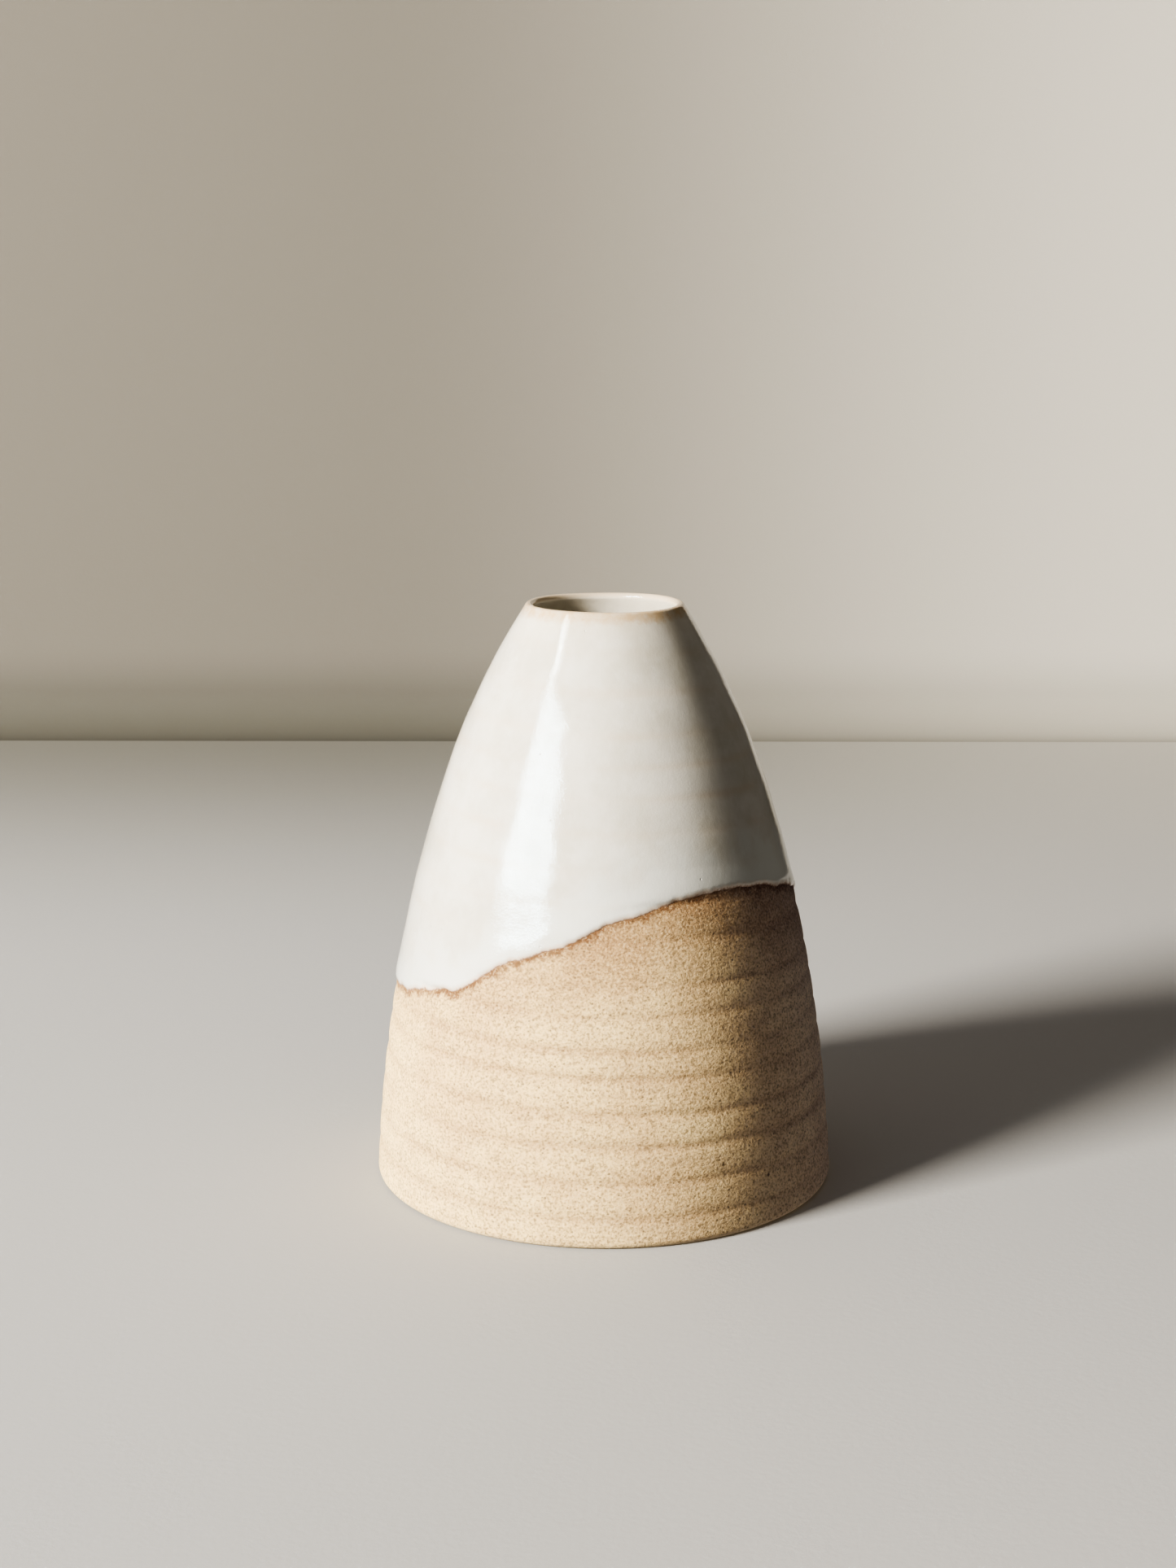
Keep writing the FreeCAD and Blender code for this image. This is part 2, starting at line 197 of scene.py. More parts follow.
def wobble(angle, height):
    """Hand-thrown unevenness of the whole wall, in metres."""
    slow = 0.07 * waves(angle, height, 31, 6, (2, 3), 90)
    quick = 0.025 * waves(angle, height, 32, 14, (3, 9), 14)
    return (slow + quick) * smooth_step(height, 0, 12 * MM) * MM


def clay_outside(angle, height):
    """Radius of the thrown clay's outer face, and the groove share there."""
    relief, groove = ring_relief(angle, height)
    near_foot = smooth_step(height, 1.0 * MM, 3.0 * MM)
    near_lip = 1 - smooth_step(height, 88 * MM, 93 * MM)
    shape = flank(height) + wobble(angle, height) + relief * near_foot * near_lip
    return shape, groove * near_foot * near_lip


# ---------------------------------------------------------------- mesh building

def grid_mesh(name, places, floats, bottom=None, top=None, closed=False):
    """A mesh from a grid of places, rows by columns, closed round its columns.

    bottom and top are the places where a pole closes the first and last row. closed joins
    the last row back to the first. floats are named point values on the same grid.
    """
    rows, columns = places.shape[:2]
    vertices = places.reshape(-1, 3)
    quads = []
    last = rows if closed else rows - 1
    start = np.arange(columns)
    after = np.roll(start, -1)
    for row in range(last):
        low = row * columns
        high = ((row + 1) % rows) * columns
        quads.append(np.stack((low + start, low + after, high + after, high + start), axis=1))
    faces = np.concatenate(quads).tolist()
    for pole, row, flip in ((bottom, 0, True), (top, rows - 1, False)):
        if pole is None:
            continue
        centre = len(vertices)
        vertices = np.vstack((vertices, pole))
        ring = row * columns
        for a, b in zip((ring + start).tolist(), (ring + after).tolist()):
            faces.append((b, a, centre) if flip else (a, b, centre))
    mesh = bpy.data.meshes.new(name)
    mesh.from_pydata(vertices.tolist(), [], faces)
    mesh.update()
    for label, values in floats.items():
        attribute = mesh.attributes.new(label, "FLOAT", "POINT")
        padded = np.zeros(len(vertices), np.float32)
        padded[:values.size] = values.reshape(-1)
        attribute.data.foreach_set("value", padded)
    mesh.polygons.foreach_set("use_smooth", [True] * len(mesh.polygons))
    piece = bpy.data.objects.new(name, mesh)
    bpy.context.scene.collection.objects.link(piece)
    return piece


def columns_of(count):
    return np.linspace(-math.pi, math.pi, count, endpoint=False)


def to_places(angle, radius, height):
    """Grid of points from angle, radius and height."""
    angle, radius, height = np.broadcast_arrays(angle, radius, height)
    return np.stack((radius * np.sin(angle), -radius * np.cos(angle), height), axis=-1)


def lip_lift(angle):
    """Slight unevenness of the lip's top, in metres."""
    return 0.05 * MM * waves(angle, np.zeros_like(angle), 41, 6, (1, 4), 90)


def lip_arc(angle, first, last, count, offset):
    """Rows of radius and height round the lip, between two tilt angles."""
    tilt = np.linspace(first, last, count)[:, None]
    size = LIP_ROUND + offset
    radius = LIP_RADIUS + size * np.cos(tilt) + 0 * angle
    height = LIP_HEIGHT + size * np.sin(tilt) + lip_lift(angle)
    return radius, height


LIP_TURN = math.atan(-float(flank_slope(93.5 * MM)))      # tilt where the flank meets the lip
inner_slope = inner_wall.deriv()
INNER_TURN = math.pi + math.atan(-float(inner_slope(93 * MM)))


def make_clay():
    """The thrown body: underside, foot, ringed flank, lip, inner wall and floor in one skin."""
    angle = columns_of(CLAY_COLUMNS)[None, :]
    rows_radius = []
    rows_height = []
    rows_groove = []

    def add(radius, height, groove=0.0):
        radius, height, groove, _ = np.broadcast_arrays(radius, height, groove, angle)
        rows_radius.append(radius)
        rows_height.append(height)
        rows_groove.append(groove)

    foot_edge = float(flank(HEEL_ROUND)) - HEEL_ROUND
    recess_top = RECESS_RADIUS - RECESS_RUN
    for radius in np.linspace(0.6 * MM, recess_top - 0.4 * MM, 34)[:, None]:
        turned = 0.05 * MM * np.cos(radius / MM * 2 * math.pi / 3.1) * smooth_step(radius, 0, 4 * MM)
        add(radius, RECESS_DEPTH + turned + 0.03 * MM * waves(angle, radius, 51, 8, (1, 6), 12))
    for share in np.linspace(0, 1, 8)[:, None]:
        eased = smooth_step(share, 0, 1)
        add(recess_top + RECESS_RUN * share, RECESS_DEPTH * (1 - eased))
    for radius in np.linspace(RECESS_RADIUS + 0.5 * MM, foot_edge, 8)[:, None]:
        add(radius, 0.0)
    top_tilt = math.atan(-float(flank_slope(HEEL_ROUND)))
    for tilt in np.linspace(-math.pi / 2, top_tilt, 9)[1:, None]:
        add(foot_edge + HEEL_ROUND * np.cos(tilt), HEEL_ROUND + HEEL_ROUND * np.sin(tilt))
    fine = np.arange(1.55, 57.0, 0.37)
    coarse = np.arange(57.5, 93.6, 1.3)
    for height in np.concatenate((fine, coarse))[:, None] * MM:
        radius, groove = clay_outside(angle, height)
        add(radius, height, groove)
    skin = -GLAZE_THICK * MM
    radius, height = lip_arc(angle, LIP_TURN, INNER_TURN, 9, skin)
    for row in range(len(radius)):
        add(radius[row:row + 1], height[row:row + 1])
    for height in np.linspace(93.4 * MM, FLOOR_TOP + FLOOR_CORNER, 24)[:, None]:
        add(inner_wall(height) - skin, height)
    corner_radius = float(inner_wall(FLOOR_TOP + FLOOR_CORNER)) - FLOOR_CORNER
    for tilt in np.linspace(0, math.pi / 2, 8)[1:, None]:
        reach = FLOOR_CORNER - skin
        add(corner_radius + reach * np.cos(tilt), FLOOR_TOP + FLOOR_CORNER - reach * np.sin(tilt))
    for share in np.linspace(0.85, 0.05, 5)[:, None]:
        add(corner_radius * share, FLOOR_TOP + skin)

    radius = np.concatenate(rows_radius)
    height = np.concatenate(rows_height)
    groove = np.concatenate(rows_groove)
    line = glaze_line(angle[0])[None, :]
    outer = radius > inner_wall(np.clip(height, 15 * MM, 94 * MM)) + 0.8 * MM
    below = np.where(outer, (line - height) / MM, -5.0)
    under = (height < 0.6 * MM) | (radius < RECESS_RADIUS) & (height < 2 * MM)
    places = to_places(angle, radius, height)
    floats = {"groove": groove, "below_line": below, "underside": under.astype(float)}
    bottom = (0, 0, RECESS_DEPTH)
    top = (0, 0, FLOOR_TOP + skin)
    return grid_mesh("thrown_clay", places, floats, bottom=bottom, top=top)


def make_outer_glaze():
    """The dipped coat: outer face from its rounded lower edge up over the lip, and a hidden
    face that bites slightly into the clay."""
    angle = columns_of(OUTER_COLUMNS)[None, :]
    line = glaze_line(angle[0])[None, :]
    flank_top = LIP_HEIGHT + LIP_ROUND * math.sin(LIP_TURN)
    edge = GLAZE_EDGE * (1 - np.cos(np.linspace(0, math.pi / 2, 8)))
    edge_gaps = edge[:, None] * MM + 0 * angle
    count = 118
    share = np.linspace(0, 1, count + 1)[1:, None]
    share = 0.35 * share ** 2 + 0.65 * share
    upper_gaps = GLAZE_EDGE * MM + (flank_top - line - GLAZE_EDGE * MM) * share
    gaps = np.concatenate((edge_gaps, upper_gaps))
    heights = line + gaps
    clay, groove = clay_outside(angle, heights)
    smooth_clay = flank(heights) + wobble(angle, heights)
    soft = 1 - (1 - RING_UNDER_GLAZE) * smooth_step(gaps, 0.2 * MM, 2.6 * MM)
    rounded = np.clip(gaps / (GLAZE_EDGE * MM), 0, 1)
    thick = GLAZE_THICK + GLAZE_ROLL * bell(gaps / MM - 1.6, 2.2)
    thick = thick + 0.035 * waves(angle, heights, 61, 16, (2, 12), 9)
    thick = thick * (1 - (1 - rounded) ** 2) * MM
    lean = np.sqrt(1 + flank_slope(heights) ** 2)
    skin = smooth_clay + (clay - smooth_clay) * soft + thick * lean
    settle = smooth_step(heights, 88 * MM, flank_top)
    even = LIP_RADIUS + LIP_ROUND * math.cos(LIP_TURN) + (flank_top - heights) * math.tan(LIP_TURN)
    skin = skin + (even - skin) * settle
    heights = heights + lip_lift(angle) * settle
    lip_r, lip_z = lip_arc(angle, LIP_TURN, math.pi / 2, 12, 0)
    radius = np.concatenate((skin, lip_r[1:]))
    height = np.concatenate((heights, lip_z[1:]))
    gap = np.concatenate((gaps, lip_z[1:] - line)) / MM
    groove = np.concatenate((groove, np.zeros_like(lip_r[1:])))

    bite = GLAZE_BITE * MM
    hidden_share = np.linspace(1, 0, 26)[:, None]
    hidden_height = line + (93.0 * MM - line) * hidden_share
    hidden_radius = clay_outside(angle, hidden_height)[0] - bite
    inner_lip_r, inner_lip_z = lip_arc(angle, math.pi / 2, LIP_TURN, 6, -(GLAZE_THICK * MM + bite))
    back_r = np.concatenate((inner_lip_r, hidden_radius))
    back_z = np.concatenate((inner_lip_z, hidden_height))
    places = np.concatenate((to_places(angle, radius, height), to_places(angle, back_r, back_z)))
    flat = np.zeros_like(back_r)
    floats = {
        "above_line": np.concatenate((gap, flat)),
        "groove": np.concatenate((groove, flat)),
        "from_lip": np.concatenate((((LIP_HEIGHT + LIP_ROUND) - height) / MM, flat)),
    }
    return grid_mesh("dipped_glaze", places, floats, closed=True)


def make_liner_glaze():
    """The poured coat inside, from the top of the lip down to the middle of the floor."""
    angle = columns_of(LINER_COLUMNS)[None, :]

    def face(inset, seed):
        """Rows from the lip's top down to the floor, inset from the glaze's own face."""
        radii, heights = lip_arc(angle, math.pi / 2, INNER_TURN, 12, -inset)
        wall_height = np.linspace(93.6 * MM, FLOOR_TOP + FLOOR_CORNER, 90)[:, None] + 0 * angle
        uneven = 0.03 * MM * waves(angle, wall_height, seed, 14, (1, 8), 12)
        ring = ring_relief(angle, wall_height)[0]
        fade = 1 - smooth_step(wall_height, 84 * MM, 92 * MM)
        wall_radius = inner_wall(wall_height) + inset + (uneven - 0.5 * ring) * fade
        corner = float(inner_wall(FLOOR_TOP + FLOOR_CORNER)) - FLOOR_CORNER
        tilt = np.linspace(0, math.pi / 2, 10)[1:, None] + 0 * angle
        reach = FLOOR_CORNER + inset
        corner_radius = corner + reach * np.cos(tilt)
        corner_height = FLOOR_TOP + FLOOR_CORNER - reach * np.sin(tilt)
        floor_radius = corner * np.linspace(0.93, 0.03, 16)[:, None] + 0 * angle
        floor_height = FLOOR_TOP - inset + 0.06 * MM * np.cos(floor_radius / MM * 1.7)
        floor_height = floor_height - 0.06 * MM
        return (
            np.concatenate((radii, wall_radius, corner_radius, floor_radius)),
            np.concatenate((heights, wall_height, corner_height, floor_height)),
        )

    front = face(0.0, 71)
    back = face((GLAZE_THICK + GLAZE_BITE) * MM, 71)
    radius = np.concatenate((back[0][::-1], front[0]))
    height = np.concatenate((back[1][::-1], front[1]))
    places = to_places(angle, radius, height)
    hidden = len(back[0])
    depth = ((LIP_HEIGHT + LIP_ROUND) - height) / MM
    depth[:hidden] = 0
    floats = {"from_lip": depth}
    bottom = (0, 0, float(back[1][-1].mean()))
    top = (0, 0, float(front[1][-1].mean()))
    return grid_mesh("poured_liner", places, floats, bottom=bottom, top=top)


# ---------------------------------------------------------------- materials

def srgb(red, green, blue):
    """Linear colour from 0 to 255 values."""
    linear = []
    for value in (red, green, blue):
        share = value / 255
        linear.append(share / 12.92 if share <= 0.04045 else ((share + 0.055) / 1.055) ** 2.4)
    return (*linear, 1.0)


class Shader:
    """A material's nodes, built with short calls. Sizes are in millimetres."""

    def __init__(self, name):
        self.material = bpy.data.materials.new(name)
        self.material.use_nodes = True
        self.tree = self.material.node_tree
        self.surface = self.tree.nodes["Principled BSDF"]
        self.place = self.node("ShaderNodeTexCoord").outputs["Object"]

    def node(self, kind, **settings):
        made = self.tree.nodes.new(kind)
        for key, value in settings.items():
            setattr(made, key, value)
        return made

    def feed(self, socket, value):
        if isinstance(value, bpy.types.NodeSocket):
            self.tree.links.new(value, socket)
        else:
            socket.default_value = value

    def set(self, name, value):
        self.feed(self.surface.inputs[name], value)

    def scaled(self, stretch=(1, 1, 1)):
        """Object coordinates in millimetres, squeezed so that features come out stretched."""
        made = self.node("ShaderNodeMapping")
        self.feed(made.inputs["Vector"], self.place)
        made.inputs["Scale"].default_value = [1 / MM / s for s in stretch]
        return made.outputs["Vector"]

    def noise(self, size, detail=2.0, roughness=0.5, stretch=(1, 1, 1)):
        made = self.node("ShaderNodeTexNoise")
        self.feed(made.inputs["Vector"], self.scaled(stretch))
        made.inputs["Scale"].default_value = 1 / size
        made.inputs["Detail"].default_value = detail
        made.inputs["Roughness"].default_value = roughness
        return made.outputs["Fac"]

    def cells(self, size, stretch=(1, 1, 1)):
        """Distance to the nearest scattered point, in cells, and a random colour for each."""
        made = self.node("ShaderNodeTexVoronoi")
        self.feed(made.inputs["Vector"], self.scaled(stretch))
        made.inputs["Scale"].default_value = 1 / size
        return made.outputs["Distance"], made.outputs["Color"]

    def value(self, name):
        made = self.node("ShaderNodeAttribute", attribute_name=name)
        return made.outputs["Fac"]

    def sums(self, operation, first, second):
        made = self.node("ShaderNodeMath", operation=operation)
        self.feed(made.inputs[0], first)
        self.feed(made.inputs[1], second)
        return made.outputs[0]

    def times(self, first, second):
        return self.sums("MULTIPLY", first, second)

    def plus(self, first, second):
        return self.sums("ADD", first, second)

    def ease(self, value, low, high, start=0.0, end=1.0):
        """start below low, end above high, and a smooth change between."""
        made = self.node("ShaderNodeMapRange", interpolation_type="SMOOTHSTEP")
        self.feed(made.inputs["Value"], value)
        made.inputs["From Min"].default_value = low
        made.inputs["From Max"].default_value = high
        made.inputs["To Min"].default_value = start
        made.inputs["To Max"].default_value = end
        return made.outputs["Result"]

    def mix(self, share, first, second):
        made = self.node("ShaderNodeMix", data_type="RGBA")
        self.feed(made.inputs[0], share)
        self.feed(made.inputs[6], first)
        self.feed(made.inputs[7], second)
        return made.outputs[2]

    def bump(self, height, distance, before=None):
        """distance is the height of a full step, in millimetres."""
        made = self.node("ShaderNodeBump")
        self.feed(made.inputs["Height"], height)
        made.inputs["Distance"].default_value = distance * MM
        made.inputs["Strength"].default_value = 1.0
        if before is not None:
            self.feed(made.inputs["Normal"], before)
        return made.outputs["Normal"]


def clay_material():
    """Buff stoneware: sandy grain, brown specks, grooves darker (a warmer tint and painted shade),
    ochre flashing below the glaze.

    The ochre below the glaze is stronger towards +X.
    """
    m = Shader("bare_stoneware")
    cream = srgb(241, 215, 160)
    buff = srgb(227, 198, 147)
    colour = m.mix(m.ease(m.noise(14, 3, 0.6), 0.35, 0.68), cream, buff)
    drag = m.noise(2.2, 3, 0.6, stretch=(3.0, 3.0, 0.8))
    colour = m.mix(m.ease(drag, 0.42, 0.72, 0, 0.35), colour, srgb(203, 175, 135))
    # Grooves darker and warmer: partly the clay's own tint, partly painted shade in the recesses.
    groove = m.value("groove")
    patchy = m.ease(m.noise(9, 3, 0.6), 0.3, 0.7, 0.45, 1.0)
    colour = m.mix(m.times(m.times(groove, patchy), 0.50), colour, srgb(186, 153, 114))

    below = m.value("below_line")
    ragged = m.plus(below, m.ease(m.noise(1.3, 4, 0.7), 0.2, 0.8, -0.9, 0.9))
    split = m.node("ShaderNodeSeparateXYZ")
    m.feed(split.inputs[0], m.place)
    # The ochre below the glaze is stronger towards +X.
    plus_x_side = m.ease(split.outputs["X"], -0.024, 0.004, 0.25, 1.0)
    broad = m.times(m.ease(ragged, 1.5, 15.0, 0.85, 0), m.ease(m.noise(8, 2), 0.35, 0.65, 0.75, 1.0))
    broad = m.times(broad, plus_x_side)
    colour = m.mix(broad, colour, srgb(180, 144, 104))
    narrow = m.times(m.ease(ragged, 0.2, 1.5, 1, 0), m.ease(m.noise(5, 3), 0.3, 0.62, 0.6, 1.0))
    colour = m.mix(narrow, colour, srgb(138, 100, 68))

    grain = m.noise(0.40, 3, 0.60)
    sand = m.noise(0.85, 3, 0.7, stretch=(1.3, 1.3, 0.9))
    colour = m.mix(m.ease(sand, 0.46, 0.68, 0, 0.34), colour, srgb(164, 138, 104))
    colour = m.mix(m.ease(grain, 0.48, 0.66, 0, 0.50), colour, srgb(118, 98, 74))
    colour = m.mix(m.ease(grain, 0.49, 0.34, 0, 0.30), colour, srgb(243, 225, 184))
    spot, tint = m.cells(0.80, stretch=(1.25, 1.25, 1))
    chosen = m.sums("GREATER_THAN", tint, 0.55)
    uneven = m.plus(spot, m.ease(grain, 0.3, 0.7, -0.10, 0.10))
    dots = m.times(m.ease(uneven, 0.08, 0.26, 0.60, 0), chosen)
    colour = m.mix(dots, colour, srgb(84, 68, 52))
    fleck, flecks = m.cells(5.2)
    rare = m.sums("GREATER_THAN", flecks, 0.66)
    colour = m.mix(m.times(m.ease(fleck, 0.03, 0.07, 0.7, 0), rare), colour, srgb(70, 48, 32))
    colour = m.mix(m.times(m.value("underside"), 0.4), colour, srgb(226, 208, 176))
    m.set("Base Color", colour)

    rough = m.bump(sand, 0.15)
    gritty = m.bump(grain, 0.06, rough)
    lines = m.bump(m.noise(0.5, 3, 0.6, stretch=(9, 9, 1)), 0.06, gritty)
    m.set("Normal", lines)
    m.set("Roughness", m.ease(grain, 0.3, 0.7, 0.78, 0.96))
    m.surface.inputs["IOR"].default_value = 1.45
    m.surface.inputs["Specular IOR Level"].default_value = 0.50
    m.surface.inputs["Diffuse Roughness"].default_value = 0.35
    return m.material


def glaze_material(name, lined):
    """Glossy off-white glaze, thin and tan on the lip, cooler where it pooled above its line.

    lined is true for the coat inside, which has no lower edge.
    """
    m = Shader(name)
    milk = srgb(219, 215, 204)
    cloud = srgb(208, 203, 189)
    colour = m.mix(m.ease(m.noise(9, 4, 0.6), 0.35, 0.68), milk, cloud)
    colour = m.mix(m.ease(m.noise(1.7, 3, 0.6), 0.45, 0.75, 0, 0.25), colour, srgb(226, 223, 216))
    from_lip = m.value("from_lip")
    if not lined:
        above = m.value("above_line")
        warm_rings = m.times(m.value("groove"), m.ease(m.noise(11, 2), 0.35, 0.65, 0.1, 0.5))
        colour = m.mix(warm_rings, colour, srgb(214, 200, 180))
        pooled = m.ease(m.plus(above, m.ease(m.noise(6, 3), 0.3, 0.7, -2.5, 2.5)), 3, 11, 0.75, 0)
        colour = m.mix(pooled, colour, srgb(221, 222, 215))
        wavy = m.plus(above, m.ease(m.noise(0.6, 4, 0.7), 0.25, 0.75, -0.22, 0.22))
        colour = m.mix(m.ease(wavy, 0.2, 1.1, 0.75, 0), colour, srgb(228, 206, 184))
        colour = m.mix(m.ease(wavy, 0.0, 0.38, 0.85, 0), colour, srgb(164, 124, 92))
    blush = m.ease(from_lip, 0.8, 6.0, 0.35, 0)
    colour = m.mix(blush, colour, srgb(220, 207, 184))
    if not lined:
        broken = m.plus(from_lip, m.ease(m.noise(1.0, 4, 0.7), 0.25, 0.75, -0.35, 0.35))
        thin_lip = m.ease(broken, 0.8, 2.1, 0.80, 0)
        patches = m.ease(m.noise(2.2, 4, 0.7), 0.35, 0.6, 0.5, 1.0)
        colour = m.mix(m.times(thin_lip, patches), colour, srgb(206, 177, 136))
    else:
        colour = m.mix(m.ease(from_lip, 0.3, 1.0, 0.6, 0), colour, srgb(200, 178, 146))
        # Painted shade inside the mouth: the liner goes darker from 4 to 14 mm below the lip.
        colour = m.mix(m.ease(from_lip, 4.0, 14.0, 0, 0.5), colour, srgb(190, 181, 164))
    pit, tint = m.cells(2.3)
    some = m.sums("GREATER_THAN", tint, 0.72)
    m.set("Base Color", colour)

    peel = m.bump(m.noise(1.5, 2, 0.5), 0.022)
    ripple = m.bump(m.noise(0.28, 2, 0.6), 0.015, peel)
    holes = m.bump(m.times(m.ease(pit, 0.03, 0.09, -1, 0), some), 0.05, ripple)
    m.set("Normal", holes)
    m.set("Roughness", m.ease(m.noise(4, 3), 0.3, 0.7, 0.012, 0.03))
    m.surface.inputs["IOR"].default_value = 1.5
    return m.material


# ---------------------------------------------------------------- pieces

def add_piece(piece, node, material):
    piece.data.materials.append(material)
    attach(piece, "root")
    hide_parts(node)
    return piece


clay = add_piece(make_clay(), "clay_body", clay_material())
coats = (
    add_piece(make_outer_glaze(), "outer_glaze", glaze_material("dipped_glaze", False)),
    add_piece(make_liner_glaze(), "liner_glaze", glaze_material("liner_glaze", True)),
)


# ---------------------------------------------------------------- stage, light and camera

def stage_mesh(name, corners, faces, material):
    mesh = bpy.data.meshes.new(name)
    mesh.from_pydata(corners, [], faces)
    mesh.materials.append(material)
    made = bpy.data.objects.new(name, mesh)
    bpy.context.scene.collection.objects.link(made)
    return made


def stage_paint(name, left, right, back_left, back_right, axis, near, far):
    """Matt paint with painted light and shade: it changes slowly from left to right, and towards its
    back edge to a second pair of colours that paints the light and shade along that edge.

    axis is the output of Separate XYZ that runs towards that edge, near and far in metres.
    """
    m = Shader(name)
    split = m.node("ShaderNodeSeparateXYZ")
    m.feed(split.inputs[0], m.place)
    across = m.ease(split.outputs["X"], -0.08, 0.25)
    plain = m.mix(across, left, right)
    # Painted light and shade along the back edge.
    back_light_and_shade = m.mix(across, back_left, back_right)
    m.set("Base Color", m.mix(m.ease(split.outputs[axis], near, far), plain, back_light_and_shade))
    m.set("Normal", m.bump(m.noise(1.2, 3, 0.6), 0.03))
    m.surface.inputs["Roughness"].default_value = 0.8
    m.surface.inputs["Specular IOR Level"].default_value = 0.2
    return m.material


# The stage, in metres: where the floor meets the backdrop, the rounding there, and their sizes.
TABLE_BACK = 0.383
COVE = 0.014
SIDE = 3.0
TALL = 2.0
# Floor with painted shade towards the back at the left, where the table's far edge is in shadow, and
# painted light at the back right.
floor_paint = stage_paint(
    "floor_paint",
    left=srgb(181, 180, 178),
    right=srgb(187, 185, 182),
    back_left=srgb(136, 133, 124),
    back_right=srgb(204, 200, 190),
    axis="Y",
    near=0.10,
    far=TABLE_BACK,
)
# Backdrop with painted light and shade: darker at the left, lighter at the right, and a painted shadow
# along its foot.
wall_paint = stage_paint(
    "wall_paint",
    left=srgb(126, 121, 112),
    right=srgb(193, 188, 178),
    back_left=srgb(100, 97, 88),
    back_right=srgb(168, 163, 152),
    axis="Z",
    near=0.030,
    far=0.002,
)
cove_turns = [math.radians(90 * step / 12) for step in range(13)]
profile = [(TABLE_BACK - COVE + COVE * math.sin(t), COVE - COVE * math.cos(t)) for t in cove_turns]
profile.append((TABLE_BACK, TALL))
floor = stage_mesh(
    "floor",
    [(-SIDE, -SIDE, 0), (SIDE, -SIDE, 0), (SIDE, TABLE_BACK - COVE, 0), (-SIDE, TABLE_BACK - COVE, 0)],
    [(0, 1, 2, 3)],
    floor_paint,
)
backdrop = stage_mesh(
    "backdrop",
    [(side, y, z) for y, z in profile for side in (-SIDE, SIDE)],
    [(2 * row, 2 * row + 1, 2 * row + 3, 2 * row + 2) for row in range(len(profile) - 1)],
    wall_paint,
)
floor.visible_diffuse = False
backdrop.data.polygons.foreach_set("use_smooth", [True] * len(backdrop.data.polygons))
backdrop.visible_diffuse = False
backdrop.visible_shadow = False

# A black card out of the picture at the right keeps the shaded side of the vase deep.
card_black = Shader("card_black")
card_black.surface.inputs["Base Color"].default_value = (0.01, 0.01, 0.01, 1)
card_black.surface.inputs["Specular IOR Level"].default_value = 0.0
CARD_LINE = ((0.20, 0.375), (0.21, 0.10), (0.21, -0.45))
CARD_TALL = 0.6
card = stage_mesh(
    "black_card",
    [(x, y, z) for x, y in CARD_LINE for z in (0, CARD_TALL)],
    [(0, 1, 3, 2), (2, 3, 5, 4)],
    card_black.material,
)
card.visible_camera = False
card.visible_shadow = False


MIDDLE = Vector((0, 0, 0.06))


def from_vase(azimuth, elevation, distance):
    """A place seen from the middle of the vase. azimuth is from the front, towards +X."""
    turn = math.radians(azimuth)
    rise = math.radians(elevation)
    across = math.cos(rise)
    way = Vector((math.sin(turn) * across, -math.cos(turn) * across, math.sin(rise)))
    return MIDDLE + way * distance


def soft_light(name, place, aim, width, height, power, colour, only=()):
    """A rectangular panel that the camera and reflections don't show.

    only lists the objects that it lights, or is empty when it lights them all.
    """
    light = bpy.data.lights.new(name, "AREA")
    light.shape = "RECTANGLE"
    light.size = width
    light.size_y = height
    light.energy = power
    light.color = colour
    made = bpy.data.objects.new(name, light)
    bpy.context.scene.collection.objects.link(made)
    made.location = place
    made.rotation_mode = "QUATERNION"
    made.rotation_quaternion = (Vector(place) - Vector(aim)).to_track_quat("Z", "Y")
    made.visible_camera = False
    made.visible_glossy = False
    if only:
        lit = bpy.data.collections.new(name + "_lit")
        for piece in only:
            lit.objects.link(piece)
        made.light_linking.receiver_collection = lit
    return made


soft_light("key_panel", from_vase(-55, 23, 2.4), MIDDLE, 0.70, 0.50, 130, (1.0, 0.955, 0.88))
soft_light(
    "wall_wash", (0.28, 0.12, 0.07), (0.24, TABLE_BACK, 0.04), 0.2, 0.2, 0.55, (1, 1, 1),
    only=(backdrop,),
)
soft_light("floor_fill", (0.5, 0, 1.0), (0, 0, 0), 0.8, 0.8, 0.95, (1.0, 0.86, 0.76), only=(floor,))
# The tone curve makes dark clay too orange, and this blue light on the clay alone evens that out.
soft_light("cool_fill", from_vase(70, 8, 0.9), MIDDLE, 0.5, 0.5, 0.85, (0.02, 0.12, 1.0), only=(clay,))
soft_light(
    "back_panel", from_vase(-165, 25, 0.9), MIDDLE, 0.6, 0.5, 2.5, (1.0, 0.95, 1.0),
    only=(clay, *coats),
)
soft_light("side_panel", from_vase(140, 20, 0.9), MIDDLE, 0.4, 0.5, 1.5, (1.0, 0.94, 0.86), only=coats)


def glowing(name, colour):
    """A black material that shines. Its strength is set by the caller."""
    m = Shader(name)
    m.surface.inputs["Base Color"].default_value = (0, 0, 0, 1)
    m.surface.inputs["Specular IOR Level"].default_value = 0.0
    m.surface.inputs["Emission Color"].default_value = (*colour, 1)
    return m


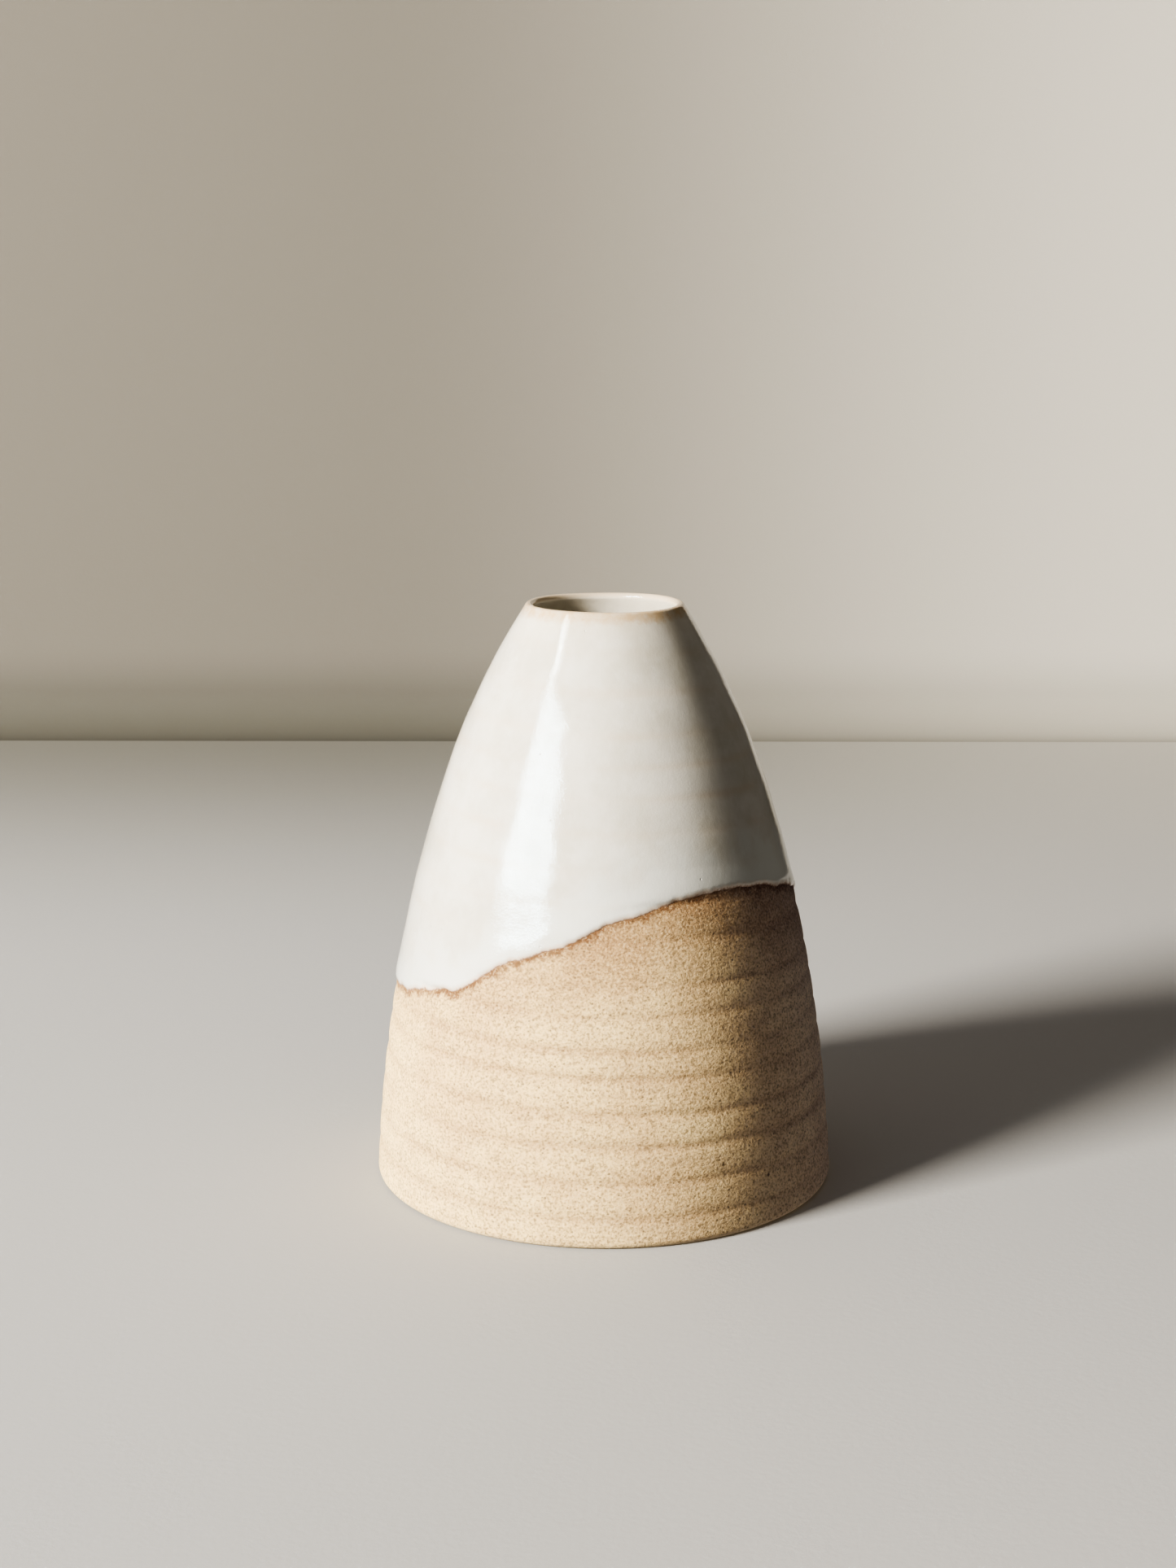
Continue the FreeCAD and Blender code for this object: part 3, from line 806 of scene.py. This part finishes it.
# The window and the gap above it are seen only as highlights on the glaze. Their corners are
# azimuth and elevation from the vase, in degrees.
glow = glowing("window_glow", (0.64, 0.88, 1.0))
glow_patches = glow.noise(15, 4, 0.7, stretch=(5, 5, 1))
glow.set("Emission Strength", glow.ease(glow_patches, 0.40, 0.60, 5.0, 42.0))
gap_glow = glowing("gap_glow", (0.8, 0.95, 1.0))
gap_glow.surface.inputs["Emission Strength"].default_value = 60.0
WINDOW_AWAY = 1.2
EDGE_STEPS = 40
EDGE_RAGGED = 1.2
window_corners = ((-68, 8), (-37, 11), (-34, 20), (-39, 34), (-65, 38), (-65, 17))
gap_corners = ((-66.5, 39), (-63.5, 39), (-63.0, 47), (-66.0, 47))
ragged_edge = np.random.default_rng(11)
for name, corners, shader in (("window", window_corners, glow), ("window_gap", gap_corners, gap_glow)):
    outline = []
    for (side_from, rise_from), (side_to, rise_to) in zip(corners, corners[1:] + corners[:1]):
        for share in np.arange(0, 1, 1 / EDGE_STEPS):
            side = side_from + (side_to - side_from) * share
            side = side + ragged_edge.uniform(-EDGE_RAGGED, EDGE_RAGGED)
            rise = rise_from + (rise_to - rise_from) * share
            outline.append(from_vase(side, rise, WINDOW_AWAY))
    pane = stage_mesh(name, outline, [tuple(range(len(outline)))], shader.material)
    pane.visible_camera = False
    pane.visible_diffuse = False
    pane.visible_shadow = False

world = bpy.data.worlds.new("room")
world.use_nodes = True
sky = world.node_tree.nodes["Background"]
sky.inputs["Color"].default_value = (1.0, 0.95, 0.90, 1)
ROOM_LIGHT = 0.27     # how bright the room is to the vase
ROOM_SEEN = 0.45      # and to the camera
path = world.node_tree.nodes.new("ShaderNodeLightPath")
seen = world.node_tree.nodes.new("ShaderNodeMapRange")
seen.inputs["To Min"].default_value = ROOM_LIGHT
seen.inputs["To Max"].default_value = ROOM_SEEN
world.node_tree.links.new(path.outputs["Is Camera Ray"], seen.inputs["Value"])
world.node_tree.links.new(seen.outputs["Result"], sky.inputs["Strength"])
bpy.context.scene.world = world

CAMERA_DOWN = 12.09   # degrees below level
CAMERA_TURN = 0.402
camera_data = bpy.data.cameras.new("camera")
camera_data.lens = 55.1
camera_data.sensor_width = 36
camera = bpy.data.objects.new("camera", camera_data)
bpy.context.scene.collection.objects.link(camera)
camera.location = (0, -0.3826, 0.1471)
camera.rotation_euler = (math.radians(90 - CAMERA_DOWN), 0, math.radians(CAMERA_TURN))
bpy.context.scene.camera = camera

bpy.context.scene.view_settings.view_transform = "AgX"
bpy.context.scene.view_settings.look = "AgX - Very High Contrast"
